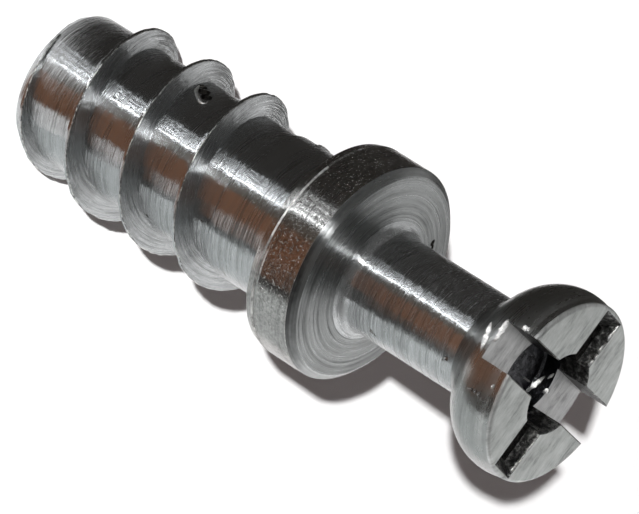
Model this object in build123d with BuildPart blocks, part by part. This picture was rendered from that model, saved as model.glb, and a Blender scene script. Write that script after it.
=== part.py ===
# A cam dowel: a short turned steel bolt that joins two furniture panels.
# The coarse thread screws into a 5 mm hole in one panel, up to the collar.
# The neck and the domed head stand out of it, and a cam in the other panel grips them.
# The dowel stands on its tip here: the axis is Z and the origin is the middle of the tip's end.

import os
from math import cos, pi, radians, sin, tan

from build123d import *

# Core and shank, from the tip to the collar
tip_diameter = 3.2
tip_chamfer_length = 0.55
core_diameter = 4.9
shank_diameter = 5.08
shank_start = 9.22
shank_step_length = 0.08

# Thread, a thin right-handed fin round the core; angles are counted along its turns
thread_diameter = 6.3
thread_pitch = 2.4
thread_offset = -0.435
thread_crest_width = 0.12
head_flank_angle = 12
tip_flank_angle = 32
thread_root_overlap = 0.3
start_diameter = 4.0
start_angle = 60
lead_in_diameter = 5.6
lead_in_angle = 165
rise_angle = 335
full_height_angle = 835
run_out_angle = 180

# Collar that seats on the panel's face
collar_diameter = 7.4
collar_start = 11.95
collar_width = 2.0
collar_back_chamfer = 0.08
collar_back_chamfer_length = 0.33
collar_front_chamfer = 0.26
collar_front_chamfer_length = 0.25
collar_cone_height = 0.25
neck_root_radius = 0.4

# Neck and domed head
neck_diameter = 3.4
face_height = 21.7
head_height = 2.9
head_diameter = 6.16
flare_diameter = 4.1
flare_length = 0.5
dome_bulge = 0.46
rim_width = 0.3
rim_round = 0.18

# Drive in the flat face: a wide open slot, a narrow closed slot and a round centre pocket
wide_slot_width = 1.37
wide_slot_depth = 1.15
wide_slot_offset = 0.08
narrow_slot_width = 1.15
narrow_slot_depth = 0.6
narrow_slot_length = 5.85
narrow_slot_end_slope = 0.4
narrow_slot_turn = -2
pocket_diameter = 2.72
pocket_depth = 1.7
pocket_wall_angle = 2

# Radii and heights that follow from the sizes above
tip_radius = tip_diameter / 2
core_radius = core_diameter / 2
shank_radius = shank_diameter / 2
thread_radius = thread_diameter / 2
start_radius = start_diameter / 2
lead_in_radius = lead_in_diameter / 2
collar_radius = collar_diameter / 2
neck_radius = neck_diameter / 2
head_radius = head_diameter / 2
collar_end = collar_start + collar_width
neck_end = face_height - head_height
dome_start = neck_end + flare_length
rim_start = face_height - rim_width

# The turned body, as one half outline turned round the axis
with BuildPart() as body:
    with BuildSketch(Plane.XZ):
        with BuildLine():
            Polyline(
                (0, 0),
                (tip_radius, 0),
                (core_radius, tip_chamfer_length),
                (core_radius, shank_start - shank_step_length),
                (shank_radius, shank_start),
                (shank_radius, collar_start),
                (collar_radius - collar_back_chamfer, collar_start),
                (collar_radius, collar_start + collar_back_chamfer_length),
                (collar_radius, collar_end - collar_front_chamfer_length),
                (collar_radius - collar_front_chamfer, collar_end),
                (neck_radius, collar_end + collar_cone_height),
                (neck_radius, neck_end),
                (flare_diameter / 2, dome_start),
            )
            SagittaArc((flare_diameter / 2, dome_start), (head_radius, rim_start), -dome_bulge)
            Polyline(
                (head_radius, rim_start),
                (head_radius, face_height),
                (0, face_height),
                (0, 0),
            )
        make_face()
    revolve(axis=Axis.Z)
    neck_circles = body.edges().filter_by(
        lambda edge: edge.geom_type == GeomType.CIRCLE and abs(edge.radius - neck_radius) < 0.001
    )
    fillet(neck_circles.sort_by(Axis.Z)[0], neck_root_radius)
    fillet(body.faces().sort_by(Axis.Z)[-1].edges(), rim_round)


def crest_height(angle):
    """Height of the fin's crest at an angle counted along the turns."""
    return thread_offset + thread_pitch * angle / 360


def fin_section(angle, root_radius, crest_radius):
    """The fin's section at an angle: steep towards the head, sloped towards the tip."""
    turn = radians(angle)
    outward = Vector(cos(turn), sin(turn), 0)
    rise = thread_pitch / (2 * pi * core_radius)
    along = Vector(-sin(turn), cos(turn), rise)
    middle = Vector(0, 0, crest_height(angle)) + outward * core_radius
    depth = crest_radius - root_radius
    half_crest = thread_crest_width / 2
    with BuildSketch(Plane(origin=middle, x_dir=outward, z_dir=-along)) as section:
        with BuildLine():
            Polyline(
                (root_radius - core_radius, -half_crest - depth * tan(radians(tip_flank_angle))),
                (crest_radius - core_radius, -half_crest),
                (crest_radius - core_radius, half_crest),
                (root_radius - core_radius, half_crest + depth * tan(radians(head_flank_angle))),
                close=True,
            )
        make_face()
    return section.sketch.face()


# The thread grows out of the tip's chamfer, keeps its height and then runs out on the shank
tip_root_radius = tip_radius - thread_root_overlap
root_radius = core_radius - thread_root_overlap
lead_in_end_angle = start_angle + lead_in_angle
rise_end_angle = lead_in_end_angle + rise_angle
run_out_start_angle = rise_end_angle + full_height_angle
end_angle = run_out_start_angle + run_out_angle
fin_stops = [
    (start_angle, tip_root_radius, start_radius),
    (lead_in_end_angle, root_radius, lead_in_radius),
    (rise_end_angle, root_radius, thread_radius),
    (run_out_start_angle, root_radius, thread_radius),
    (end_angle, root_radius, core_radius),
]

with BuildPart() as thread:
    for first, last in zip(fin_stops, fin_stops[1:]):
        with BuildLine(mode=Mode.PRIVATE) as turns:
            span = crest_height(last[0]) - crest_height(first[0])
            Helix(thread_pitch, span, core_radius, center=(0, 0, crest_height(first[0])))
        path = turns.line.rotate(Axis.Z, first[0])
        sweep([fin_section(*first), fin_section(*last)], path, multisection=True, is_frenet=True)
    split(bisect_by=Plane.XY, keep=Keep.TOP)

# The whole dowel: body and thread in one piece, with the drive cut into the face
with BuildPart() as dowel:
    add(body.part)
    add(thread.part)
    with BuildSketch(Plane.XY.offset(face_height)):
        with Locations((0, wide_slot_offset)):
            Rectangle(2 * head_diameter, wide_slot_width)
    extrude(amount=-wide_slot_depth, mode=Mode.SUBTRACT)
    with BuildSketch(Plane.YZ.rotated((0, 0, narrow_slot_turn))):
        slot_half = narrow_slot_length / 2
        slot_floor = face_height - narrow_slot_depth
        Polygon(
            (-slot_half, face_height),
            (slot_half, face_height),
            (slot_half - narrow_slot_end_slope, slot_floor),
            (narrow_slot_end_slope - slot_half, slot_floor),
            align=None,
        )
    extrude(amount=narrow_slot_width / 2, both=True, mode=Mode.SUBTRACT)
    with BuildSketch(Plane.XY.offset(face_height)):
        Circle(pocket_diameter / 2)
    extrude(amount=-pocket_depth, taper=pocket_wall_angle, mode=Mode.SUBTRACT)

dowel.part.label = "cam_dowel"
os.makedirs("parts", exist_ok=True)
export_step(dowel.part, "parts/cam_dowel.step")
print("solids", len(dowel.part.solids()), "height", round(dowel.part.bounding_box().size.Z, 3))
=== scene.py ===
# %% [markdown]
# # A cam dowel in turned steel
# This lesson dresses the imported model of a cam dowel, the short steel bolt that joins two furniture panels.
# The imported model is a fixed frame: every size below is the real one, and the dowel stands on its tip.
# The frame is read from model.glb, and its own mesh of the dowel is hidden once the finished piece takes its
# place.

# %% Load the frame
import bpy
import bmesh
from math import atan2, cos, degrees, hypot, pi, radians, sin, tan
from mathutils import Matrix, Vector, noise


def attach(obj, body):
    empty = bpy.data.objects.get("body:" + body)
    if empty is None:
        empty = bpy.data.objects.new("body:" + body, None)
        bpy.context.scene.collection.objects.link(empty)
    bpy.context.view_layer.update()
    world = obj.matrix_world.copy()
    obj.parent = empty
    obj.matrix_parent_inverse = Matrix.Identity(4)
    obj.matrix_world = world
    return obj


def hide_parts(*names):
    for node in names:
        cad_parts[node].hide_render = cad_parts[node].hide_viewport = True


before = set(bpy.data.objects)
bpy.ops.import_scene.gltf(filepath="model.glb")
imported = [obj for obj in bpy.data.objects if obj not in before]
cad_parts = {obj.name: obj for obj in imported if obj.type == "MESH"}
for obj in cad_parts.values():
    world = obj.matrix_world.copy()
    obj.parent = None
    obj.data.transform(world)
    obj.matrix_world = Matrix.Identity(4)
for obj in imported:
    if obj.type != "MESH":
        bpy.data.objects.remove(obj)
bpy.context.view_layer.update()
MM = 0.001

# %% [markdown]
# ## The outline of the turned body
# The real dowel is turned from bar on a lathe, so its body is one outline spun round the axis.
# The outline is written as corners, each with the small radius that a tool leaves there.
# A helper rounds the corners, because an edge with no radius catches no light in a render.

# %% Corners of the outline, as radius, height and corner radius in millimetres
CORE = 2.45
SHANK = 2.54
NECK = 1.7
COLLAR = 3.695
HEAD = 3.08
FACE = 21.699
COLLAR_BACK = 11.95
COLLAR_FRONT = 13.95
RIDGE = 0.29
DOME_START = 19.3
RIM_START = 21.4
FLARE = 2.05
DOME_BULGE = 0.46
RIM_ROUND = 0.18

body_corners = [
    (1.6, 0, 0.06),
    (CORE, 0.55, 0.15),
    (CORE, 9.14, 0.03),
    (SHANK, 9.22, 0.05),
    (SHANK, COLLAR_BACK, 0.06),
    (COLLAR - 0.08, COLLAR_BACK, 0.05),
    (COLLAR, COLLAR_BACK + RIDGE, 0.01),
    (COLLAR - 0.035, COLLAR_BACK + RIDGE + 0.05, 0.01),
    (COLLAR, COLLAR_BACK + RIDGE + 0.17, 0.05),
    (COLLAR, COLLAR_FRONT - 0.25, 0.08),
    (COLLAR - 0.26, COLLAR_FRONT, 0.07),
    (NECK, COLLAR_FRONT + 0.25, 0.4),
    (NECK, FACE - 2.9, 0.12),
    (FLARE, DOME_START, 0.03),
]
print("corners of the body", len(body_corners))

# %% Rounded corners
# The part of a straight run that an arc may use up at either end
ARC_SHARE = 0.45


def rounded(corners, steps=6):
    """Replaces each inner corner of an open line by a short arc of its radius."""
    points = [Vector(corners[0][:2])]
    for before, corner, after in zip(corners, corners[1:], corners[2:]):
        p, a, b = Vector(corner[:2]), Vector(before[:2]), Vector(after[:2])
        to_a, to_b = (a - p).normalized(), (b - p).normalized()
        half = to_a.angle(to_b) / 2
        cut = min(corner[2] / tan(half), (a - p).length * ARC_SHARE, (b - p).length * ARC_SHARE)
        radius = cut * tan(half)
        centre = p + (to_a + to_b).normalized() * (radius / sin(half))
        first, last = p + to_a * cut - centre, p + to_b * cut - centre
        sweep = first.angle_signed(last)
        for k in range(steps + 1):
            points.append(centre + Matrix.Rotation(-sweep * k / steps, 2) @ first)
    points.append(Vector(corners[-1][:2]))
    return points


print("points when they are rounded", len(rounded(body_corners)))

# %% Dome of the head
def dome_arc(start, end, bulge, steps=64):
    """The domed underside of the head, as an arc that bulges outwards."""
    chord = end - start
    out = Vector((chord.y, -chord.x)).normalized()
    radius = (chord.length ** 2 / 4 + bulge ** 2) / (2 * bulge)
    centre = (start + end) / 2 + out * (bulge - radius)
    a, b = start - centre, end - centre
    sweep = a.angle_signed(b)
    return [centre + Matrix.Rotation(-sweep * k / steps, 2) @ a for k in range(1, steps + 1)]


dome = dome_arc(Vector((FLARE, DOME_START)), Vector((HEAD, RIM_START)), DOME_BULGE)
print("points of the dome", len(dome))

# %% The whole outline
LONGEST_QUAD = 0.35


def filled(points, longest):
    """Adds points on long straight runs, so that the quads of the skin stay short."""
    out = [points[0]]
    for a, b in zip(points, points[1:]):
        n = max(1, int((b - a).length / longest + 0.999))
        out.extend(a + (b - a) * k / n for k in range(1, n + 1))
    return out


# The corners added at both ends only give directions: the first becomes the axis and the last goes
outline = rounded([(0.8, 0, 0)] + body_corners + [(FLARE + 0.09, DOME_START + 0.3, 0)])[:-1]
outline[0] = Vector((0, 0))
outline += dome
outline += rounded([(HEAD, RIM_START, 0), (HEAD, FACE, RIM_ROUND), (1.0, FACE, 0)])[1:-1]
outline = filled(outline, LONGEST_QUAD)
outline.append(Vector((0, FACE)))
print("outline points", len(outline), "widest", round(max(p.x for p in outline), 3))

# %% [markdown]
# ## Spinning the outline
# Blender has a screw modifier for this, but a short loop in mesh code gives control of every ring.
# The skin has many narrow quads round the axis, so that its edge looks round in a close picture.

# %% Spin helper and the body
TURN_STEPS = 256


def mesh_object(name, bm):
    """Makes an object from a mesh in millimetres, with its faces turned outwards."""
    bmesh.ops.recalc_face_normals(bm, faces=bm.faces)
    mesh = bpy.data.meshes.new(name)
    bm.to_mesh(mesh)
    bm.free()
    obj = bpy.data.objects.new(name, mesh)
    bpy.context.scene.collection.objects.link(obj)
    return obj


def join_rings(bm, low, high):
    """Quads between two rings with the same number of points."""
    sides = range(len(low))
    turned_on = [(k + 1) % len(low) for k in sides]
    return [bm.faces.new((low[k], low[n], high[n], high[k])) for k, n in zip(sides, turned_on)]


def spun(name, points, steps=TURN_STEPS):
    """Spins an outline that starts on the axis. A point on the axis becomes one vertex."""
    bm = bmesh.new()
    turns = [2 * pi * k / steps for k in range(steps)]
    rings = []
    for p in points:
        if p.x < 1e-6:
            rings.append([bm.verts.new((0, 0, p.y))])
        else:
            rings.append([bm.verts.new((p.x * cos(turn), p.x * sin(turn), p.y)) for turn in turns])
    for low, high in zip(rings, rings[1:]):
        if len(low) > 1 and len(high) > 1:
            join_rings(bm, low, high)
            continue
        for k in range(steps):
            n = (k + 1) % steps
            bm.faces.new((low[0], high[k], high[n]) if len(low) == 1 else (low[k], low[n], high[0]))
    return mesh_object(name, bm)


dowel = spun("cam_dowel_steel", outline)
print("body faces", len(dowel.data.polygons))

# %% [markdown]
# ## The thread
# The thread is a thin fin that winds round the core, steep towards the head and sloped towards the tip.
# It grows out of the tip's chamfer, keeps its height for a little over two turns and runs out on the shank.
# The fin is a section carried along a helix by a loop, for a screw modifier can't change its height.
# Its crest is rounded and a little ragged, as on the real one.

# %% Sizes of the fin and its section
PITCH = 2.4
THREAD_OFFSET = -0.435
CREST_WIDTH = 0.12
HEAD_FLANK = radians(12)
TIP_FLANK = radians(32)
RISE = PITCH / (2 * pi * CORE)
# Angle along the turns in degrees, radius of the root inside the core, radius of the crest
fin_stops = [
    (60, 1.3, 2.0),
    (225, 2.15, 2.8),
    (560, 2.15, 3.15),
    (1395, 2.15, 3.15),
    (1575, 2.15, 2.45),
]


def between(stops, angle):
    """Root and crest radius at an angle along the turns."""
    for (a0, r0, c0), (a1, r1, c1) in zip(stops, stops[1:]):
        if angle <= a1:
            f = (angle - a0) / (a1 - a0)
            return r0 + (r1 - r0) * f, c0 + (c1 - c0) * f
    return stops[-1][1:]


def fin_section(root, crest):
    """Section of the fin as radius and offset along the axis, from the tip side to the head side."""
    depth = crest - root
    half = CREST_WIDTH / 2
    low = -half - depth * tan(TIP_FLANK)
    high = half + depth * tan(HEAD_FLANK)
    corners = [(root, low, 0), (crest, -half, 0.05), (crest, half, 0.04), (root, high, 0)]
    return rounded(corners, 4)


print("turns of the thread", round((fin_stops[-1][0] - fin_stops[0][0]) / 360, 2))

# %% One ring of the fin
# How much wear takes off the crest in millimetres, how fast it changes and where its noise is read
crest_wear = [(0.06, 0.09, 3.1), (0.035, 0.3, 9.7)]


def fin_ring(bm, angle):
    """The fin's section set square to its helix, at an angle along the turns."""
    root, crest = between(fin_stops, angle)
    a = radians(angle)
    out, along = Vector((cos(a), sin(a), 0)), Vector((-sin(a), cos(a), 0))
    up = (Vector((0, 0, 1)) - along * RISE).normalized()
    middle = Vector((0, 0, THREAD_OFFSET + PITCH * angle / 360))
    worn = sum(most * max(0, noise.noise(Vector((angle * pace, seed, 0)))) for most, pace, seed in crest_wear)
    return [bm.verts.new(middle + out * p.x + up * p.y) for p in fin_section(root, crest - worn)]


print("the most that wear takes off", round(sum(most for most, pace, seed in crest_wear), 3), "mm")

# %% Fin along its helix
FIN_STEP = 3
# Sides of the fin's section that lie on the crest's rounding towards the head
CREST_SIDES = range(6, 9)


def loft(bm, rings):
    """A closed skin over rings, with a face at either end. Gives its sides, ring by ring."""
    sides = [join_rings(bm, low, high) for low, high in zip(rings, rings[1:])]
    bm.faces.new(rings[0])
    bm.faces.new(rings[-1])
    return sides


def fin():
    """The fin as a closed skin, cut flat at the tip's end."""
    bm = bmesh.new()
    angles = range(fin_stops[0][0], fin_stops[-1][0] + 1, FIN_STEP)
    for ring_sides in loft(bm, [fin_ring(bm, angle) for angle in angles]):
        for k in CREST_SIDES:
            ring_sides[k].material_index = 1
    geometry = bm.verts[:] + bm.edges[:] + bm.faces[:]
    cut = bmesh.ops.bisect_plane(bm, geom=geometry, plane_co=(0, 0, 0), plane_no=(0, 0, -1), clear_outer=True)
    edges = [e for e in cut["geom_cut"] if isinstance(e, bmesh.types.BMEdge)]
    bmesh.ops.holes_fill(bm, edges=edges)
    return mesh_object("fin", bm)


thread_fin = fin()
print("fin faces", len(thread_fin.data.polygons))

# %% [markdown]
# ## The drive in the head
# The face has a wide slot across it, a narrow shallow slot square to it and a round pocket in the middle.
# Each cutter has a small flare at its top, which leaves the thin chamfer of a used tool on the edges.
# Exact boolean cuts are used, because they keep the flat face flat.

# %% Sizes of the drive
SLOT_FLOOR = 20.55
WIDE_SLOT = 1.37
WIDE_SLOT_MIDDLE = 0.08
WIDE_SLOT_LENGTH = 9
NARROW_SLOT = 1.15
NARROW_HALF = 2.925
NARROW_FLOOR = FACE - 0.47
NARROW_END_SLOPE = 0.4
NARROW_END_FLARE = 0.33
SLOT_TURN = radians(-2)
EDGE_FLARE = 0.035
POCKET_FLOOR = FACE - 1.7
POCKET = 1.36
POCKET_MOUTH = 1.39
POCKET_QUAD = 0.3
POCKET_STEPS = 128
# How far the cutters stand out over the face
OVER = 0.5
print("narrow slot deep", round(FACE - NARROW_FLOOR, 2), "pocket deep", round(FACE - POCKET_FLOOR, 2))

# %% Sections of the drive
def slot_section(middle, width, floor):
    """Section of a slot with a flat floor and flared edges at the face."""
    half = width / 2
    wide = half + EDGE_FLARE
    return [
        (middle - half, floor),
        (middle + half, floor),
        (middle + half, FACE - EDGE_FLARE),
        (middle + wide, FACE),
        (middle + wide, FACE + OVER),
        (middle - wide, FACE + OVER),
        (middle - wide, FACE),
        (middle - half, FACE - EDGE_FLARE),
    ]


narrow_section = [
    (-NARROW_HALF, FACE),
    (NARROW_END_SLOPE - NARROW_HALF, NARROW_FLOOR),
    (NARROW_HALF - NARROW_END_SLOPE, NARROW_FLOOR),
    (NARROW_HALF, FACE),
    (NARROW_HALF + NARROW_END_FLARE, FACE + OVER),
    (-NARROW_HALF - NARROW_END_FLARE, FACE + OVER),
]
pocket_line = [
    (0, POCKET_FLOOR),
    (1.22, POCKET_FLOOR),
    (1.3, POCKET_FLOOR + 0.08),
    (POCKET, FACE - 0.03),
    (POCKET_MOUTH, FACE),
    (POCKET_MOUTH, FACE + OVER),
    (0, FACE + OVER),
]
print("corners of the narrow slot", len(narrow_section), "and of the pocket", len(pocket_line))

# %% Cutters
def prism(name, section, length, turn=0):
    """A straight cutter: a closed section across X, carried along X for its length, then turned."""
    bm = bmesh.new()
    turned_by = Matrix.Rotation(turn, 3, "Z")
    ends = (-length / 2, length / 2)
    loft(bm, [[bm.verts.new(turned_by @ Vector((x, y, z))) for y, z in section] for x in ends])
    return mesh_object(name, bm)


wide_cutter = prism("wide_cutter", slot_section(WIDE_SLOT_MIDDLE, WIDE_SLOT, SLOT_FLOOR), WIDE_SLOT_LENGTH)
narrow_cutter = prism("narrow_cutter", narrow_section, NARROW_SLOT, SLOT_TURN)
pocket_points = filled([Vector(p) for p in pocket_line], POCKET_QUAD)
pocket_cutter = spun("pocket_cutter", pocket_points, POCKET_STEPS)
drive_cutters = [wide_cutter, narrow_cutter, pocket_cutter]
print("drive cutters", len(drive_cutters))

# %% [markdown]
# ## Pits and dents
# A used dowel has a nick in its thread, dents in the neck, a groove on the dome and a speck on the collar.
# A real dent is a small crater, so each one is cut by a rough ball and the light finds its edge by itself.
# Some of them are painted near-black and the others a darker grey, so every ball says which it is.

# %% Where the pits and dents are
# Middle and radius in millimetres, and whether it is painted near-black
pits = [
    ((-1.38, 2.07, 5.6), 0.17, True),
    ((-1.55, 1.94, 5.86), 0.2, True),
    ((-1.69, 1.83, 6.13), 0.18, True),
    ((1.44, 2.04, 14.13), 0.13, True),
    ((1.58, 1.93, 14.12), 0.09, True),
    ((-0.78, -1.6, 15.46), 0.12, False),
    ((-0.71, -1.63, 15.6), 0.1, False),
    ((-1.4, -1.08, 18.55), 0.11, False),
    ((-1.32, -1.18, 18.42), 0.08, False),
    ((-2.72, -1.57, 20.6), 0.06, False),
    ((-2.76, -1.56, 20.72), 0.07, False),
    ((-2.78, -1.56, 20.86), 0.08, False),
    ((-2.76, -1.57, 21.02), 0.08, False),
    ((-2.72, -1.63, 21.16), 0.06, False),
    ((-0.9, -2.31, 6.4), 0.07, False),
    ((-1.9, -1.6, 8.8), 0.07, False),
]
print("pits", len(pits))

# %% Three cutters of small rough balls
ROUGHNESS_OF_BALLS = 0.5


def pit_balls(some):
    """One cutter of balls that don't touch each other."""
    bm = bmesh.new()
    for middle, radius, blackened in some:
        first = len(bm.faces)
        made = bmesh.ops.create_icosphere(bm, subdivisions=2, radius=radius)
        bm.faces.ensure_lookup_table()
        for face in bm.faces[first:]:
            face.material_index = 0 if blackened else 1
        for v in made["verts"]:
            swell = noise.noise(v.co * (1.2 / radius) + Vector(middle))
            v.co = v.co * (1 + ROUGHNESS_OF_BALLS * swell) + Vector(middle)
    return mesh_object("pit_cutter", bm)


# Neighbours overlap, so they go into different cutters
pit_cutters = [pit_balls(pits[k::3]) for k in range(3)]
print("pit cutters", len(pit_cutters))

# %% [markdown]
# ## Joining and cutting
# The fin is joined to the body and the cutters are taken away, one after the other.
# Each step is applied at once, so the result is an ordinary mesh with no modifiers left on it.
# The cuts leave a few points almost in the same place, and these are merged at the end.

# %% Helpers for the cuts
MERGE = 0.0008


def boolean(target, tool, kind):
    """Joins or cuts two closed meshes and deletes the tool."""
    step = target.modifiers.new(kind.lower(), "BOOLEAN")
    step.operation = kind
    step.solver = "EXACT"
    step.object = tool
    step.material_mode = "TRANSFER"
    graph = bpy.context.evaluated_depsgraph_get()
    mesh = bpy.data.meshes.new_from_object(target.evaluated_get(graph), depsgraph=graph)
    target.modifiers.clear()
    target.data = mesh
    bpy.data.objects.remove(tool)


def merge_close(obj):
    """Merges points that the cuts left almost in the same place."""
    bm = bmesh.new()
    bm.from_mesh(obj.data)
    bmesh.ops.remove_doubles(bm, verts=bm.verts, dist=MERGE)
    bmesh.ops.dissolve_degenerate(bm, edges=bm.edges, dist=MERGE)
    print("edges that aren't shared by two faces", len([e for e in bm.edges if not e.is_manifold]))
    bm.to_mesh(obj.data)
    bm.free()


print("points closer than", MERGE, "mm will be merged")

# %% Finishes by name
finish_names = [
    "turned_steel", "worn_edge", "bright_edge", "drive_steel", "collar_steel",
    "face_steel", "rim_steel", "collar_face_steel", "dome_steel", "slot_floor",
    "slot_grime", "pocket_steel", "dent_steel", "ridge_edge", "lip_edge",
]
finishes = {name: bpy.data.materials.new(name) for name in finish_names}
print("finishes", len(finishes))

# %% Join the fin, then cut the drive and the pits
starting_finishes = [
    ([dowel], ["turned_steel"]),
    ([thread_fin], ["turned_steel", "worn_edge"]),
    (drive_cutters, ["drive_steel"]),
    (pit_cutters, ["slot_grime", "dent_steel"]),
]
for objects, names in starting_finishes:
    for obj in objects:
        for name in names:
            obj.data.materials.append(finishes[name])
boolean(dowel, thread_fin, "UNION")
for cutter in drive_cutters + pit_cutters:
    boolean(dowel, cutter, "DIFFERENCE")
merge_close(dowel)
names = [m.name for m in dowel.data.materials]
for wanted in finish_names:
    if wanted not in names:
        dowel.data.materials.append(finishes[wanted])
print("faces after the cuts", len(dowel.data.polygons), "materials", names)

# %% [markdown]
# ## Finish zones
# One bar of steel shows many finishes: bright turning, speckled plating, a faced end and painted shade in the
# drive.
# Each face of the mesh gets its finish from where it lies and which way it looks, so none is picked by hand.
# The piece is then scaled to metres, shaded smooth between its sharp edges and tied to its node of the frame.

# %% Where the zones begin and end
# A face counts as square to an axis when its normal reaches this far along it
SQUARE_ON = 0.9
POCKET_REACH = 1.45
SLOT_FLOOR_PLAY = 0.03
# Where the zones of the turned body begin and end, as heights and radii in millimetres
RIDGE_FROM, RIDGE_TO = COLLAR_BACK + RIDGE - 0.02, COLLAR_BACK + RIDGE + 0.06
COLLAR_SIDE_FROM, COLLAR_SIDE_TO = COLLAR_BACK + 0.02, COLLAR_FRONT - 0.24
COLLAR_SIDE_RADIUS = COLLAR - 0.27
COLLAR_CONE_TO = COLLAR_FRONT + 0.2
NECK_ROOT = NECK + 0.3
RIM_FROM, RIM_RADIUS = FACE - 0.2, HEAD - 0.2
# How far the rounded rim and the ridge look up, as the part of their normal along Z
RIM_UP_FROM, RIM_UP_TO = 0.12, 0.95
RIDGE_UP = 0.2
FACE_FROM = FACE - 0.02
HEAD_FROM = FACE - 2.85
# The stretch of the ridge that is rubbed bright and painted as a highlight on the side facing the camera, in
# degrees round the axis, and how ragged its start is
HIGHLIT_FROM, HIGHLIT_TO, HIGHLIT_RAGGED = 150, 240, 6
print("collar's outside from", round(COLLAR_SIDE_FROM, 2), "to", round(COLLAR_SIDE_TO, 2), "mm")

# %% Which finish a face gets
# The drive's walls, the narrow slot's floor and the pocket get dark finishes, which paint the shade in these
# recesses
def drive_zone(c, n, r):
    """The finish of a face that the drive's cutters left."""
    if n.z > SQUARE_ON and abs(c.z - SLOT_FLOOR) < SLOT_FLOOR_PLAY:
        return "slot_floor"
    if r < POCKET_REACH and c.z < SLOT_FLOOR:
        return "pocket_steel"
    if (n.z > SQUARE_ON and c.z > SLOT_FLOOR) or abs(n.y) > SQUARE_ON:
        return "slot_grime"
    return "drive_steel"


def on_highlit_ridge(c, n):
    """Whether a face lies on the stretch of the ridge near the collar's back edge that is rubbed and painted
    bright as a highlight.
    """
    turn = degrees(atan2(c.y, c.x)) % 360
    start = HIGHLIT_FROM + HIGHLIT_RAGGED * noise.noise(c * 3)
    return RIDGE_FROM < c.z < RIDGE_TO and n.z > RIDGE_UP and start < turn < HIGHLIT_TO


def body_zone(c, n, r):
    """The finish of a face that the lathe left."""
    if on_highlit_ridge(c, n):
        return "ridge_edge"
    if COLLAR_SIDE_FROM < c.z < COLLAR_SIDE_TO and r > COLLAR_SIDE_RADIUS:
        return "collar_steel"
    if COLLAR_SIDE_TO < c.z < COLLAR_CONE_TO and r > NECK_ROOT:
        return "collar_face_steel"
    if c.z > RIM_FROM and r > RIM_RADIUS and RIM_UP_FROM < n.z < RIM_UP_TO:
        return "rim_steel"
    if c.z > FACE_FROM and n.z > SQUARE_ON:
        return "face_steel"
    if c.z > HEAD_FROM:
        return "dome_steel"
    return "turned_steel"


zones = {"drive_steel": drive_zone, "turned_steel": body_zone}
print("surfaces with zones", sorted(zones))

# %% Finishes of the faces
slots_in_use = [m.name for m in dowel.data.materials]
for face in dowel.data.polygons:
    name = slots_in_use[face.material_index]
    if name in zones:
        name = zones[name](face.center, face.normal, hypot(face.center.x, face.center.y))
    face.material_index = slots_in_use.index(name)
used = [slots_in_use[face.material_index] for face in dowel.data.polygons]
print("faces of each finish", {name: used.count(name) for name in sorted(set(used))})

# %% Shading and scale
SHARP_ANGLE = radians(30)


def to_metres(obj):
    """Scales a mesh from millimetres to metres and shades it smooth."""
    obj.data.transform(Matrix.Scale(MM, 4))
    obj.data.polygons.foreach_set("use_smooth", [True] * len(obj.data.polygons))


to_metres(dowel)
dowel.data.set_sharp_from_angle(angle=SHARP_ANGLE)
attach(dowel, "root")
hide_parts("cam_dowel")
print("steel faces", len(dowel.data.polygons))

# %% [markdown]
# ## The burr
# The punch that made the narrow slot threw up a ragged lip along one edge, bright because it is rubbed.
# It is a thin strip of its own that leans over the slot, with its width drawn from noise.
# A bump in the finish would be simpler, but it can't stand out over an edge.

# %% Helper for small pieces
def small_piece(name, rings_of, finish, sharp=False):
    """A small skin over rings that rides with the dowel, in one finish."""
    bm = bmesh.new()
    loft(bm, rings_of(bm))
    piece = mesh_object(name, bm)
    to_metres(piece)
    if sharp:
        piece.data.set_sharp_from_angle(angle=SHARP_ANGLE)
    piece.data.materials.append(finishes[finish])
    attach(piece, "root")
    return piece


print("edges of more than", round(degrees(SHARP_ANGLE)), "degrees stay sharp where a piece asks for it")

# %% Burr along one edge of the narrow slot
BURR_EDGE = 0.58
BURR_STEP = 0.025


def burr(name, first, last, width, seed):
    """A ragged lip along Y that leans towards the slot and stays under the face."""
    steps = int((last - first) / BURR_STEP)
    slot_turned = Matrix.Rotation(SLOT_TURN, 3, "Z")

    def section(y):
        wave = noise.noise(Vector((y * 6, seed, 0))) + 0.6 * noise.noise(Vector((y * 17, seed, 5)))
        lean = width * max(0.05, 0.45 + wave)
        drop = 0.02 + 0.03 * (0.5 + noise.noise(Vector((y * 9, seed, 9))))
        # From the flat face over the slot's edge to the lip's tip, and back below it
        return [
            (BURR_EDGE + 0.06, -0.002),
            (BURR_EDGE, -0.006),
            (BURR_EDGE - lean, -0.01 - lean * 0.55),
            (BURR_EDGE - lean * 0.8, -0.04 - lean * 0.6 - drop),
            (BURR_EDGE + 0.03, -0.1 - drop),
        ]

    def rings(bm):
        places = [first + (last - first) * k / steps for k in range(steps + 1)]
        return [[bm.verts.new(slot_turned @ Vector((x, y, FACE + z))) for x, z in section(y)] for y in places]

    return small_piece(name, rings, "bright_edge")


lips = [burr("burr_low", -2.85, -1.28, 0.1, 2.3), burr("burr_high", 1.3, 2.85, 0.08, 7.7)]
print("burr faces", sum(len(lip.data.polygons) for lip in lips))

# %% [markdown]
# ## Raised slivers
# The punch and the cam have torn the steel, and small bright flakes stand up in the pocket and on the dome.
# Each is a thin leaf that faces half-way between lamp and eye, because a flake that lies flat is dark.
# They are pieces of their own, so each can be moved or left out without touching the body.

# %% Where the slivers are and which way they face
GLINT_TURN, GLINT_RISE = radians(178), radians(34)
GLINT_FLAT = cos(GLINT_RISE)
to_glint = Vector((cos(GLINT_TURN) * GLINT_FLAT, sin(GLINT_TURN) * GLINT_FLAT, sin(GLINT_RISE)))
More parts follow.
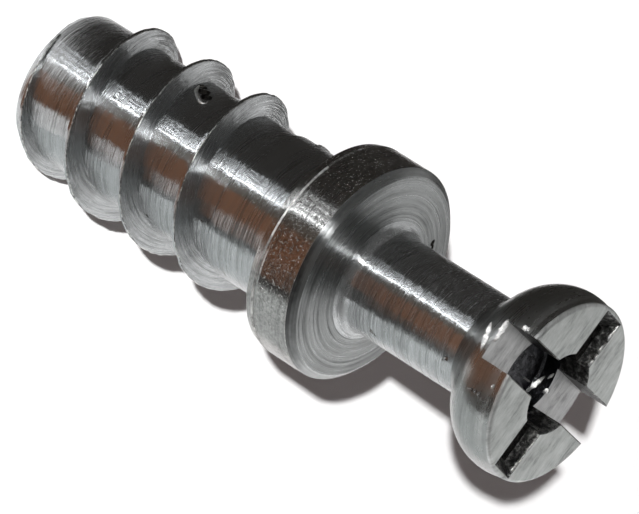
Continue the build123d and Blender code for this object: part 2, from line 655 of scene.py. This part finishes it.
# Name, middle, direction, length and width, in millimetres
slivers = [
    ("chip_dome_bar", (-3.1, 0.01, 20.27), (0.12, -0.966, 0.227), 0.92, 0.2),
    ("chip_slot_edge", (-3.11, 0.4, 20.6), (-0.006, -1, 0.043), 0.82, 0.2),
    ("chip_slot_corner", (-3.03, 0.86, 21.22), (0.558, 0.135, 0.819), 0.3, 0.2),
    ("chip_pocket_bar", (1.12, 0.01, 20.2), (0.167, 0.966, 0.197), 0.78, 0.17),
    ("chip_pocket_floor", (0.6, -0.07, 20.09), (0.559, -0.022, 0.829), 0.36, 0.09),
    ("chip_pocket_wall", (1.19, 0.535, 20.465), (0.191, 0.953, 0.234), 0.4, 0.08),
    ("chip_pocket_rim", (1.26, 0.02, 20.58), (0.365, 0.785, 0.5), 0.25, 0.19),
    ("chip_face_rim", (-2.91, -1.15, 21.355), (0.119, 0.985, 0.125), 0.18, 0.12),
]
print("slivers", len(slivers), "facing", [round(part, 2) for part in to_glint])

# %% Slivers of raised metal that catch the lamp
SLIVER_STEPS = 12
SLIVER_ARCH = 0.13
SLIVER_TOP, SLIVER_BACK = 0.016, 0.04


def pointed(f):
    """Part of its full width that a leaf or a lip has along its length, where f runs from 0 to 1."""
    return sin(pi * f) ** 0.5


def sliver(name, middle, along, length, width):
    """A thin raised chip of metal: a pointed, slightly arched leaf that faces the lamp and the eye."""
    run = (Vector(along) - to_glint * Vector(along).dot(to_glint)).normalized()
    side = to_glint.cross(run)

    def ring(bm, f):
        ragged = 0.8 + 0.7 * noise.noise(Vector((f * 6, middle[0], middle[1])))
        half = 0.5 * width * max(0.1, pointed(f)) * ragged
        spine = Vector(middle) + run * (length * (f - 0.5)) + to_glint * (SLIVER_ARCH * length * f * (1 - f))
        corners = (side * half, to_glint * SLIVER_TOP, side * -half, to_glint * -SLIVER_BACK)
        return [bm.verts.new(spine + corner) for corner in corners]

    def rings(bm):
        return [ring(bm, k / SLIVER_STEPS) for k in range(SLIVER_STEPS + 1)]

    return small_piece(name, rings, "bright_edge", sharp=True)


chips = [sliver(*values) for values in slivers]
print("faces of the slivers", sum(len(chip.data.polygons) for chip in chips))

# %% [markdown]
# ## The lip of the nick
# Whatever struck the thread's core pushed the metal up beside the nick, in a lip round half of it.
# The lip is a thin tube that follows the core and thins out at both ends.
# It could be sculpted too, but a line of points is easier to place and to change.

# %% Lip round one side of the nick
NICK_TURN, NICK_HEIGHT = radians(128.6), 5.86
LIP_RADIUS = 0.085
LIP_SIDES = 8
LIP_BEND = 0.2
LIP_STEP = 0.06
LIP_SUNK = 0.01
# Points of the lip as the way round the core and the way along it from the nick, in millimetres
lip_points = [
    (-0.19, -0.39),
    (0.0, -0.3),
    (0.21, -0.17),
    (0.36, 0.02),
    (0.48, 0.23),
    (0.56, 0.42),
    (0.47, 0.53),
    (0.29, 0.46),
]


def lip_rings(bm):
    """Rings of a tube on the core that follows the points."""
    line = filled(rounded([(x, y, LIP_BEND) for x, y in lip_points], 3), LIP_STEP)
    last = len(line) - 1
    rings = []
    for k, p in enumerate(line):
        f = k / last
        step = (line[min(k + 1, last)] - line[max(k - 1, 0)]).normalized()
        a = NICK_TURN + p.x / CORE
        out, round_it = Vector((cos(a), sin(a), 0)), Vector((-sin(a), cos(a), 0))
        away = round_it * -step.y + Vector((0, 0, step.x))
        ragged = 0.85 + 0.5 * noise.noise(Vector((f * 6, 1.7, 0)))
        size = LIP_RADIUS * max(0.15, pointed(f)) * ragged
        centre = out * (CORE - LIP_SUNK) + Vector((0, 0, NICK_HEIGHT + p.y))
        turns = [2 * pi * j / LIP_SIDES for j in range(LIP_SIDES)]
        rings.append([bm.verts.new(centre + (out * cos(q) + away * sin(q)) * size) for q in turns])
    return rings


nick_lip = small_piece("chip_nick_lip", lip_rings, "lip_edge")
print("lip faces", len(nick_lip.data.polygons))

# %% [markdown]
# ## Helpers for the finishes
# A finish is a small network of nodes. These helpers keep each network short enough to read.
# All patterns are worked out in millimetres from the piece itself, so they stay put when it moves or turns.

# %% Node helpers
def shader(material):
    """Clears a material and gives its node tree with a metal shader."""
    material.use_nodes = True
    tree = material.node_tree
    tree.nodes.clear()
    out = tree.nodes.new("ShaderNodeOutputMaterial")
    metal = tree.nodes.new("ShaderNodeBsdfPrincipled")
    tree.links.new(metal.outputs["BSDF"], out.inputs["Surface"])
    metal.inputs["Metallic"].default_value = 1.0
    return tree, metal


def node(tree, kind, **values):
    """Adds a node. Values go to its own settings first, then to its sockets."""
    made = tree.nodes.new(kind)
    for key, value in values.items():
        if hasattr(made, key):
            setattr(made, key, value)
        else:
            made.inputs[key].default_value = value
    return made


def calculate(tree, operation, *values):
    """A Math node between sockets or numbers."""
    made = node(tree, "ShaderNodeMath", operation=operation)
    for socket, value in zip(made.inputs, values):
        if isinstance(value, (int, float)):
            socket.default_value = value
        else:
            tree.links.new(value, socket)
    return made.outputs[0]


print("finishes to fill", len(finishes))

# %% [markdown]
# ## Patterns in the steel
# Three patterns are enough here: hairlines drawn out round the axis, plain clouds, and a bump over either.
# Turning spreads a reflection along the axis and keeps it narrow round it. Anisotropic gloss copies that.

# %% Places in millimetres
def millimetres(tree):
    """Object coordinates in millimetres."""
    coords = node(tree, "ShaderNodeTexCoord")
    scale = node(tree, "ShaderNodeVectorMath", operation="SCALE", Scale=1 / MM)
    tree.links.new(coords.outputs["Object"], scale.inputs[0])
    return scale.outputs[0]


def apart(tree, vector):
    """The three parts of a vector."""
    parts = node(tree, "ShaderNodeSeparateXYZ")
    tree.links.new(vector, parts.inputs[0])
    return parts.outputs


def from_axis(tree, parts):
    """How far a place lies from the axis."""
    x2 = calculate(tree, "MULTIPLY", parts["X"], parts["X"])
    y2 = calculate(tree, "MULTIPLY", parts["Y"], parts["Y"])
    return calculate(tree, "SQRT", calculate(tree, "ADD", x2, y2))


print("one unit of a pattern is", MM, "m")

# %% Clouds and streaks
def grain(tree, vector, scale, detail, rough):
    """Noise over a vector."""
    texture = node(tree, "ShaderNodeTexNoise", Scale=scale, Detail=detail, Roughness=rough)
    tree.links.new(vector, texture.inputs["Vector"])
    return texture.outputs["Fac"]


def cloud(tree, scale, detail=2.0, rough=0.5):
    """Plain noise in millimetres, the same in all directions."""
    return grain(tree, millimetres(tree), scale, detail, rough)


# The rings move on with the distance from the axis too, so that a face square to it has rings
RINGS_OUTWARDS = 1.37


def streaks(tree, across, along, detail=3.0, rough=0.75):
    """Noise drawn out round the axis: hairlines that follow the turning and fade in and out."""
    parts = apart(tree, millimetres(tree))
    outwards = calculate(tree, "MULTIPLY", from_axis(tree, parts), RINGS_OUTWARDS)
    line = calculate(tree, "ADD", parts["Z"], outwards)
    joined = node(tree, "ShaderNodeCombineXYZ")
    for key in ("X", "Y"):
        tree.links.new(calculate(tree, "MULTIPLY", parts[key], across), joined.inputs[key])
    tree.links.new(calculate(tree, "MULTIPLY", line, along), joined.inputs["Z"])
    return grain(tree, joined.outputs[0], 1.0, detail, rough)


print("patterns: clouds and streaks")

# %% Gloss round the axis, mixing and bumps
def tangent_round_axis(tree, metal):
    """Stretches the gloss across the turning rings."""
    tangent = node(tree, "ShaderNodeTangent", direction_type="RADIAL", axis="Z")
    tree.links.new(tangent.outputs[0], metal.inputs["Tangent"])
    metal.inputs["Anisotropic Rotation"].default_value = 0.25


def mixed(tree, first, second, share):
    """Two patterns added up, with a share for the first and the rest for the second."""
    one = calculate(tree, "MULTIPLY", first, share)
    return calculate(tree, "ADD", one, calculate(tree, "MULTIPLY", second, 1 - share))


def bump_over(tree, metal, height, distance, under=None):
    """A bump of a height in millimetres, laid over another bump."""
    bump = node(tree, "ShaderNodeBump", Strength=1.0, Distance=distance * MM)
    tree.links.new(height, bump.inputs["Height"])
    if under is not None:
        tree.links.new(under.outputs[0], bump.inputs["Normal"])
    tree.links.new(bump.outputs[0], metal.inputs["Normal"])
    return bump


print("helpers for gloss, mixing and bumps are ready")

# %% [markdown]
# ## Turned steel
# The thread, shank, neck, dome and the collar's front face were all cut by a tool that left fine rings.
# The rings differ in colour and gloss, and each tilts the surface a little, which breaks up a highlight.
# A slow wobble under the rings keeps long reflections from looking ruled.

# %% Ramps and shades of a colour
def ramp(tree, value, stops):
    """A colour ramp: positions with colours or greys."""
    made = tree.nodes.new("ShaderNodeValToRGB")
    elements = made.color_ramp.elements
    while len(elements) < len(stops):
        elements.new(0.5)
    for element, (position, colour) in zip(elements, stops):
        element.position = position
        grey = (colour, colour, colour) if isinstance(colour, (int, float)) else colour
        element.color = (*grey, 1)
    tree.links.new(value, made.inputs[0])
    return made.outputs[0]


def times(colour, factor):
    """A colour made darker or lighter, but never lighter than white."""
    return tuple(min(1, part * factor) for part in colour)


print("a grey of 0.5 a quarter lighter", times((0.5, 0.5, 0.5), 1.25))

# %% Turned steel of the thread, shank, neck, dome and collar face
def turned(material, colour, roughness, stretch, ring_height, across, contrast, wobble=0.0, ragged=0.25):
    """Turned steel: streaks in its colour and gloss, fine rings and a slow wobble in its bump."""
    tree, metal = shader(material)
    metal.inputs["Anisotropic"].default_value = stretch
    tangent_round_axis(tree, metal)
    fine = streaks(tree, across, 10.0)
    broad = streaks(tree, across * 3, 1.6, 5.0)
    tone = mixed(tree, fine, broad, 0.55)
    dark, light = times(colour, 1 - 0.55 * contrast), times(colour, 1 + 0.25 * contrast)
    base = ramp(tree, tone, [(0.36, dark), (0.48, colour), (0.64, light)])
    tree.links.new(base, metal.inputs["Base Color"])
    gloss = ramp(tree, tone, [(0.35, roughness * 1.3), (0.65, roughness * 0.8)])
    tree.links.new(gloss, metal.inputs["Roughness"])
    under = bump_over(tree, metal, cloud(tree, 2.4), wobble) if wobble else None
    rings = bump_over(tree, metal, streaks(tree, across * ragged, 7.0, 3.0, 0.8), ring_height, under)
    return tree, metal, rings


ZINC = (0.47, 0.48, 0.485)
DOME_GREY = (0.36, 0.365, 0.36)
COLLAR_FACE_GREY = (0.3, 0.308, 0.308)
turned(
    finishes["turned_steel"], ZINC, roughness=0.24, stretch=1.0,
    ring_height=0.042, across=0.2, contrast=0.62, wobble=0.012, ragged=1.6,
)
turned(
    finishes["dome_steel"], DOME_GREY, roughness=0.28, stretch=0.6,
    ring_height=0.004, across=0.3, contrast=0.4, wobble=0.014,
)
turned(
    finishes["collar_face_steel"], COLLAR_FACE_GREY, roughness=0.28, stretch=0.95,
    ring_height=0.045, across=0.1, contrast=1.15, wobble=0.008,
)
print("nodes in turned steel", len(finishes["turned_steel"].node_tree.nodes))

# %% [markdown]
# ## Rubbed edges
# Edges that have scraped along a hole or a cam lose their dull skin and shine in broken lines.
# The same noise that makes the shine come and go keeps the line from looking drawn on.

# %% Edges rubbed bright, in broken lines
RUBBED_BRIGHT = (0.8, 0.8, 0.78)


def rubbed(material, roughness, dull, dent_height):
    """Bright where the edge is rubbed and dull where it isn't, from noise."""
    tree, metal = shader(material)
    patches = ramp(tree, cloud(tree, 5.0, 4.0, 0.7), [(0.42, dull), (0.58, RUBBED_BRIGHT)])
    tree.links.new(patches, metal.inputs["Base Color"])
    metal.inputs["Roughness"].default_value = roughness
    bump_over(tree, metal, cloud(tree, 16.0, 3.0, 0.7), dent_height)


rubbed(finishes["worn_edge"], roughness=0.34, dull=0.12, dent_height=0.02)
rubbed(finishes["bright_edge"], roughness=0.4, dull=0.4, dent_height=0.012)
# The ridge's finish lies only on the stretch facing the camera, so its bright metal is a painted highlight as
# well as rubbed wear
rubbed(finishes["ridge_edge"], roughness=0.5, dull=0.35, dent_height=0.008)
rubbed(finishes["lip_edge"], roughness=0.55, dull=0.5, dent_height=0.008)
print("rubbed finishes", len([name for name in finishes if name.endswith("_edge")]))

# %% [markdown]
# ## The faced end
# The flat face of the head, its rim and the floor of the wide slot are duller, with fine straight scratches.
# Stretched noise gives such scratches in the colour, in the gloss and in a very low bump.
# An image of scratches would do as well, but noise needs no file and shows no seam.

# %% Flat face, with straight scratches
def stretched_grain(tree, across, along):
    """Noise drawn out along Y."""
    stretched = node(tree, "ShaderNodeVectorMath", operation="MULTIPLY")
    stretched.inputs[1].default_value = (across, along, 1)
    tree.links.new(millimetres(tree), stretched.inputs[0])
    return grain(tree, stretched.outputs[0], 1.0, 4.0, 0.7)


def scratched(material, colour, roughness, mark_height):
    """Steel with fine straight marks along Y, in its colour, gloss and bump."""
    tree, metal = shader(material)
    fine, broad = stretched_grain(tree, 9.0, 0.9), stretched_grain(tree, 2.5, 1.2)
    tone = mixed(tree, fine, broad, 0.4)
    base = ramp(tree, tone, [(0.34, times(colour, 0.58)), (0.48, colour), (0.66, times(colour, 1.25))])
    tree.links.new(base, metal.inputs["Base Color"])
    gloss = ramp(tree, tone, [(0.35, roughness * 1.2), (0.65, roughness * 0.85)])
    tree.links.new(gloss, metal.inputs["Roughness"])
    bump_over(tree, metal, fine, mark_height)


scratched(finishes["face_steel"], (0.43, 0.445, 0.435), roughness=0.4, mark_height=0.012)
scratched(finishes["rim_steel"], (0.5, 0.51, 0.505), roughness=0.55, mark_height=0.012)
scratched(finishes["slot_floor"], (0.4, 0.4, 0.4), roughness=0.38, mark_height=0.01)
print("nodes in face steel", len(finishes["face_steel"].node_tree.nodes))

# %% [markdown]
# ## The speckled collar
# The plating on the collar's outside is coarser: small grains stand up and sparkle in dark reflections.
# Only the peaks of a cloud are raised, so that smooth steel stays between the grains.

# %% Collar, speckled by rough plating over the turning
def speckled(material, colour, roughness, stretch, grain_scale, grain_height):
    """Turned steel with small raised specks of plating laid over its rings."""
    rings_of_collar = {"ring_height": 0.008, "across": 0.5, "contrast": 0.8}
    tree, metal, rings = turned(material, colour, roughness, stretch, **rings_of_collar)
    specks = ramp(tree, cloud(tree, grain_scale, 2.0, 0.6), [(0.6, 0.0), (0.7, 1.0)])
    bump_over(tree, metal, specks, grain_height, rings)
    mottle = node(tree, "ShaderNodeMix", data_type="RGBA", blend_type="MULTIPLY")
    mottle.inputs["Factor"].default_value = 1.0
    tree.links.new(metal.inputs["Base Color"].links[0].from_socket, mottle.inputs["A"])
    spots = ramp(tree, cloud(tree, grain_scale * 0.9, 3.0, 0.75), [(0.36, 0.68), (0.5, 1.0), (0.64, 1.15)])
    tree.links.new(spots, mottle.inputs["B"])
    tree.links.new(mottle.outputs["Result"], metal.inputs["Base Color"])


COLLAR_GREY = (0.38, 0.375, 0.365)
collar_finish = finishes["collar_steel"]
speckled(collar_finish, COLLAR_GREY, roughness=0.22, stretch=0.85, grain_scale=12.0, grain_height=0.024)
print("nodes in collar steel", len(collar_finish.node_tree.nodes))

# %% [markdown]
# ## The punched drive
# The punch leaves the narrow slot torn. Its walls and floor and the deep pocket are painted near-black as
# shade, and the same black fills some pits.
# One mottled finish serves all of these, with its own colour, gloss and grain for each.

# %% Drive, left rough by the punch
def rough_plate(material, colour, roughness, grain_scale, bump_height, contrast):
    """Steel with no rings, mottled in its colour, gloss and bump."""
    tree, metal = shader(material)
    spots = cloud(tree, grain_scale, 6.0, 0.7)
    tones = [(0.36, times(colour, 0.3)), (0.5, colour), (0.64, times(colour, contrast))]
    tree.links.new(ramp(tree, spots, tones), metal.inputs["Base Color"])
    gloss = ramp(tree, spots, [(0.3, roughness * 1.3), (0.7, roughness * 0.7)])
    tree.links.new(gloss, metal.inputs["Roughness"])
    bump_over(tree, metal, spots, bump_height)


# The first three finishes are painted shade in the drive's recesses, and the near-black one also blackens
# some pits
# Finish, colour, roughness, scale of its grain, height of its bump and contrast
rough_plates = [
    ("drive_steel", (0.09, 0.09, 0.088), 0.36, 5.0, 0.07, 4.5),
    ("slot_grime", (0.035, 0.033, 0.03), 0.5, 6.0, 0.04, 2.0),
    ("pocket_steel", (0.085, 0.085, 0.092), 0.24, 3.0, 0.05, 2.0),
    ("dent_steel", (0.2, 0.195, 0.19), 0.4, 8.0, 0.02, 2.0),
]
for name, *values in rough_plates:
    rough_plate(finishes[name], *values)
print("finishes without nodes", [name for name, made in finishes.items() if not made.use_nodes])

# %% [markdown]
# ## The floor
# The floor is plain and pale and keeps the dowel's shadow. Far out it curves up, like paper in a studio.
# Close to the dowel the lamp makes it white. Farther out the lamp fades, so the floor gives more light there.

# %% Finish of the floor
FLOOR_REACH = 900
FLOOR_WHITE = 0.98
LIFT_NEAR, LIFT_FAR = 0.02, 0.92


def plain_material(name, level):
    """A dull grey or white with no gloss."""
    material = bpy.data.materials.new(name)
    material.use_nodes = True
    shade = material.node_tree.nodes["Principled BSDF"]
    shade.inputs["Base Color"].default_value = (level, level, level, 1)
    shade.inputs["Roughness"].default_value = 0.9
    shade.inputs["Specular IOR Level"].default_value = 0.0
    return material


def seen_rays(tree):
    """1 for what the camera, a reflection or a clear material sees, and 0 for light on its way."""
    rays = tree.nodes.new("ShaderNodeLightPath")
    seen = calculate(tree, "ADD", rays.outputs["Is Camera Ray"], rays.outputs["Is Glossy Ray"])
    return calculate(tree, "ADD", seen, rays.outputs["Is Transmission Ray"])


def lifted(material, near, far):
    """Adds white to what is seen: a little near the dowel, more where the lamp doesn't reach."""
    tree = material.node_tree
    out = tree.nodes["Material Output"]
    seen = seen_rays(tree)
    reach = calculate(tree, "DIVIDE", from_axis(tree, apart(tree, millimetres(tree))), FLOOR_REACH)
    strength = ramp(tree, reach, [(0.06, near), (0.25, near + 0.25 * (far - near)), (0.8, far)])
    glow = tree.nodes.new("ShaderNodeEmission")
    tree.links.new(calculate(tree, "MULTIPLY", seen, strength), glow.inputs["Strength"])
    both = tree.nodes.new("ShaderNodeAddShader")
    tree.links.new(tree.nodes["Principled BSDF"].outputs[0], both.inputs[0])
    tree.links.new(glow.outputs[0], both.inputs[1])
    tree.links.new(both.outputs[0], out.inputs["Surface"])
    return material


floor_finish = lifted(plain_material("floor_white", FLOOR_WHITE), LIFT_NEAR, LIFT_FAR)
print("floor finish nodes", len(floor_finish.node_tree.nodes))

# %% Floor
CURVE_START = 700
CURVE_RADIUS = 200
FLOOR_STEPS = 96


def curve_point(turn):
    """A point of the floor's upward curve, as radius and height in millimetres."""
    return CURVE_START + CURVE_RADIUS * sin(turn), CURVE_RADIUS - CURVE_RADIUS * cos(turn)


floor_line = [Vector((radius, 0)) for radius in (0, 60, 250, 500, CURVE_START)]
floor_line += [Vector(curve_point(radians(k * 10))) for k in range(1, 10)]
floor = spun("floor", floor_line, FLOOR_STEPS)
to_metres(floor)
floor.data.materials.append(floor_finish)
print("floor faces", len(floor.data.polygons))

# %% [markdown]
# ## Cards round the dowel
# Polished steel shows little of itself and much of its surroundings, so what it mirrors has to be built too.
# Seen from the camera, every side of the dowel mirrors one direction on the floor.
# Dark, brown and grey cards lie in those directions, and narrow bright ones make the highlight lines.
# They show in reflections only, so they never hide the dowel or darken the floor.

# %% Where the cards may begin
# Corners of the floor that the camera sees, in millimetres
picture_corners = [Vector((-5.1, 0.5)), Vector((26.6, 15.9)), Vector((48.3, 2.6)), Vector((12.2, -12.2))]
NEAREST_CARD = 5.0


def picture_edge(azimuth):
    """How far the floor in the picture reaches from the dowel's axis, in millimetres."""
    d = Vector((cos(azimuth), sin(azimuth)))
    for a, b in zip(picture_corners, picture_corners[1:] + picture_corners[:1]):
        side = b - a
        cross = d.x * side.y - d.y * side.x
        if abs(cross) < 1e-9:
            continue
        reach = (a.x * side.y - a.y * side.x) / cross
        along = (a.x * d.y - a.y * d.x) / cross
        if reach > 0 and 0 <= along <= 1:
            return reach
    return NEAREST_CARD


reaches = [round(picture_edge(radians(turn)), 1) for turn in (90, 180, 270)]
print("picture reaches", reaches, "mm from the axis")

# %% Helpers for cards that only reflections see
# Degrees between two rows of a card, and its gap to the picture in millimetres
CARD_STEP = 3
CARD_GAP = 0.2


def glowing(name, colour):
    """A material that only gives light."""
    material = bpy.data.materials.new(name)
    material.use_nodes = True
    tree = material.node_tree
    tree.nodes.clear()
    out = tree.nodes.new("ShaderNodeOutputMaterial")
    glow = node(tree, "ShaderNodeEmission", Color=(*colour, 1))
    tree.links.new(glow.outputs[0], out.inputs["Surface"])
    return material


def card(name, colour, first, last, inner=0, outer=120, height=36, rise=0.03):
    """A card on the floor with a raised outer edge, over a range of azimuths in degrees."""
    bm = bmesh.new()
    steps = max(2, int(abs(last - first) / CARD_STEP))
    lift = Vector((0, 0, rise))
    rows = []
    for k in range(steps + 1):
        a = radians(first + (last - first) * k / steps)
        d = Vector((cos(a), sin(a), 0))
        near = max(picture_edge(a) + CARD_GAP, inner)
        line = (d * near + lift, d * outer + lift, d * outer + Vector((0, 0, height)))
        rows.append([bm.verts.new(point * MM) for point in line])
    for p, q in zip(rows, rows[1:]):
        for k in range(2):
            bm.faces.new((p[k], q[k], q[k + 1], p[k + 1]))
    made = mesh_object(name, bm)
    made.data.materials.append(glowing(name, colour))
    made.visible_camera = False
    made.visible_diffuse = False
    made.visible_shadow = False


print("materials before the cards", len(bpy.data.materials))

# %% Cards, each beginning just outside the picture
BROWN = (0.25, 0.125, 0.075)
LINE_TINT = (1, 1.03, 1.06)
LINE_RISE = 0.3
# Where the near and the middle cards end, and the height of a card with no wall, in millimetres
NEAR_TO, MIDDLE_TO = 12, 30
FLAT = 0.03
# The middle and width in degrees and the brightness of each highlight line
highlight_lines = [(172.4, 1.2, 14.0), (166.5, 0.9, 10.0), (160.5, 0.9, 6.0), (154.5, 0.9, 4.0)]
# Each line has a gap on the way out, which breaks its reflection: name, start, end and height
line_parts = [("near", 0, 21, 0.3), ("far", 23.2, 110, 13)]

card("card_black", (0.04, 0.037, 0.034), 10, 149)
card("card_dark_grey", (0.06, 0.06, 0.058), 149, 178)
card("card_olive", (0.12, 0.1, 0.08), 178, 190)
card("card_brown_near", BROWN, 190, 224, outer=NEAR_TO, height=FLAT)
card("card_brown_middle", BROWN, 190, 240, inner=NEAR_TO, outer=MIDDLE_TO, height=FLAT)
card("card_brown_far", BROWN, 190, 222, inner=MIDDLE_TO)
card("card_dark_middle", (0.04, 0.04, 0.04), 240, 250, inner=NEAR_TO, outer=MIDDLE_TO, height=FLAT)
card("card_dark_far", (0.1, 0.095, 0.09), 222, 250, inner=MIDDLE_TO)
card("card_light_grey", (0.74, 0.78, 0.78), 250, 312, height=12)
for k, (middle, width, level) in enumerate(highlight_lines, 1):
    colour = [level * part for part in LINE_TINT]
    first, last = middle - width / 2, middle + width / 2
    for part, near, far, wall in line_parts:
        card(f"card_line_{part}{k}", colour, first, last, near, far, wall, LINE_RISE)

# %% [markdown]
# ## Lamps
# One small lamp behind the camera lights the floor and gives the crisp shadow that hugs the dowel.
# The others only show in the steel: one for the glints on torn edges, and two wide ones for its far sides.
# The world is warm and dark in the shadow and a plain grey where the steel mirrors it.

# %% Lamps
LAMPS_AIM = Vector((0, 0, 11))


def lamp(name, azimuth, elevation, distance, width, tall, power, on_floor=False):
    """A lamp that points at the middle of the dowel. It lights the floor, or it only shows in the steel."""
    a, e = radians(azimuth), radians(elevation)
    spot = LAMPS_AIM + distance * Vector((cos(a) * cos(e), sin(a) * cos(e), sin(e)))
    light = bpy.data.lights.new(name, "AREA")
    light.shape = "RECTANGLE"
    light.size = width * MM
    light.size_y = tall * MM
    light.energy = power
    made = bpy.data.objects.new(name, light)
    made.location = spot * MM
    made.rotation_mode = "QUATERNION"
    made.rotation_quaternion = (spot - LAMPS_AIM).to_track_quat("Z", "Y")
    made.visible_camera = False
    made.visible_diffuse = on_floor
    made.visible_glossy = not on_floor
    bpy.context.scene.collection.objects.link(made)


# Name, azimuth and elevation in degrees, distance, width and height in millimetres, and watts
lamp("lamp_key", 183.6, 29.7, 1300, 11, 11, 34.6, on_floor=True)
lamp("lamp_glint", 171, 35, 420, 34, 44, 0.58)
lamp("lamp_behind", 8, 33, 450, 800, 300, 0.46)
lamp("lamp_side", 325, 45, 450, 300, 330, 0.19)
print("lamps", len(bpy.data.lights), "watts", round(sum(light.energy for light in bpy.data.lights), 2))

# %% World
SHADOW_TINT = (0.036, 0.023, 0.021, 1)
MIRRORED_GREY = (0.15, 0.15, 0.147, 1)
world = bpy.data.worlds.new("studio")
bpy.context.scene.world = world
world.use_nodes = True
tree = world.node_tree
tint = node(tree, "ShaderNodeMix", data_type="RGBA")
tint.inputs["A"].default_value = SHADOW_TINT
tint.inputs["B"].default_value = MIRRORED_GREY
tree.links.new(seen_rays(tree), tint.inputs["Factor"])
tree.links.new(tint.outputs["Result"], tree.nodes["Background"].inputs["Color"])
print("world nodes", len(tree.nodes))

# %% [markdown]
# ## Camera
# The camera looks down on the head from one side, far away and through a long lens, and it is rolled.
# The roll makes the standing dowel lie across the picture, as it does in the photograph.

# %% Camera
camera_place = Vector((-190.84, -18.82, 130.46))
view_azimuth, view_elevation, view_roll = radians(185.52), radians(31.73), radians(122.5)
view_flat = cos(view_elevation)
lens = bpy.data.cameras.new("camera")
lens.sensor_width = 36
lens.lens = 409.03
lens.clip_start, lens.clip_end = 0.01, 5
back = Vector((cos(view_azimuth) * view_flat, sin(view_azimuth) * view_flat, sin(view_elevation)))
right = Vector((0, 0, 1)).cross(back).normalized()
up = back.cross(right)
level_view = Matrix((right, up, back)).transposed()
rolled_view = level_view @ Matrix.Rotation(view_roll, 3, "Z")
camera = bpy.data.objects.new("camera", lens)
camera.matrix_world = Matrix.Translation(camera_place * MM) @ rolled_view.to_4x4()
bpy.context.scene.collection.objects.link(camera)
bpy.context.scene.camera = camera
bpy.context.scene.view_settings.view_transform = "Standard"
print("camera at", [round(v, 1) for v in camera_place], "lens", round(lens.lens, 2))
